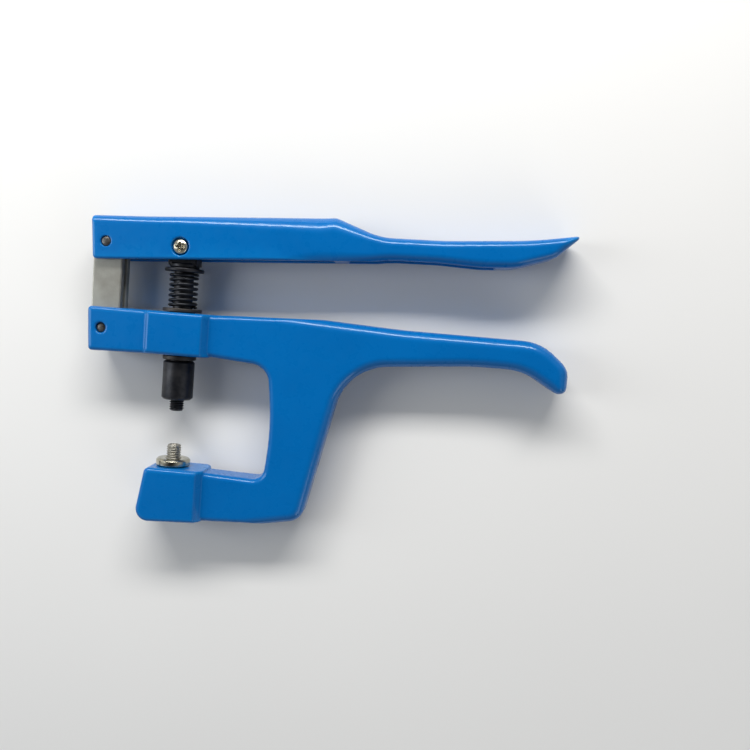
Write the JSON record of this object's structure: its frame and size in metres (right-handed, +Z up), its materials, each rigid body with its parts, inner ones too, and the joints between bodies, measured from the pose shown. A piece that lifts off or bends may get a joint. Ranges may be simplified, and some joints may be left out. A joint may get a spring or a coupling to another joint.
{
  "type": "snap setter pliers",
  "caption": "Hand press pliers with a C-shaped frame, a linked upper handle and a sprung vertical plunger that closes a threaded die holder onto an anvil to set snaps.",
  "frame": {"origin": "middle of the tool's footprint, on the surface that it lies on with one flat side down", "axes": "+X along the handles towards the grips' ends, +Y from the lower jaw to the upper handle, opposite to the plunger's working stroke, and +Z up through the tool's thickness"},
  "size_m": [0.1976, 0.1302, 0.02],
  "materials": {
    "blue_paint": "glossy blue enamel over cast metal",
    "black_steel": "turned steel, black oxide, oiled",
    "spring_steel": "black spring wire",
    "bright_steel": "bare steel, satin",
    "nickel_plate": "bright nickel plate",
    "bronze": "sintered bronze, satin"
  },
  "bodies": {
    "frame": {"frame": "blue_paint", "upper_guide_bush": "bronze", "lower_guide_bush": "bronze", "return_spring": "spring_steel", "anvil": "nickel_plate", "anvil_stud": "bright_steel", "anvil_lock_screw": "black_steel", "lower_link_pin": "bright_steel"},
    "link": {"link_plate_front": "bright_steel", "link_plate_rear": "bright_steel", "lower_link_spacer": "bright_steel", "upper_link_spacer": "bright_steel"},
    "handle": {"upper_handle": "blue_paint", "upper_link_pin": "bright_steel", "drive_screw": "nickel_plate", "drive_nut": "nickel_plate", "drive_bush": "bronze", "drive_washer_front": "bright_steel", "drive_washer_rear": "bright_steel"},
    "plunger": {"plunger_rod": "black_steel", "plunger_head": "black_steel", "spring_cap": "black_steel", "die_holder": "black_steel", "die_stud": "black_steel"}
  },
  "joints": [
    {"name": "link_swing", "type": "hinge", "parent": "frame", "child": "link", "pos_m": [-0.09225, 0.0135, 0.01], "axis": [0, 0, -1], "range_deg": [0, 0.75]},
    {"name": "handle_squeeze", "type": "hinge", "parent": "link", "child": "handle", "pos_m": [-0.09225, 0.0488, 0.01], "axis": [0, 0, -1], "range_deg": [0, 8.8], "stiffness_Nm_per_rad": 2.2, "springref_deg": -5.73},
    {"name": "plunger_drive", "type": "slide", "parent": "frame", "child": "plunger", "axis": [0, -1, 0], "range_m": [0, 0.0053], "deforming": ["return_spring"]}
  ],
  "couplings": [
    {"joint": "link_swing", "follows": "handle_squeeze", "ratio": 0.08},
    {"joint": "plunger_drive", "follows": "handle_squeeze", "m_per_rad": 0.03334}
  ]
}
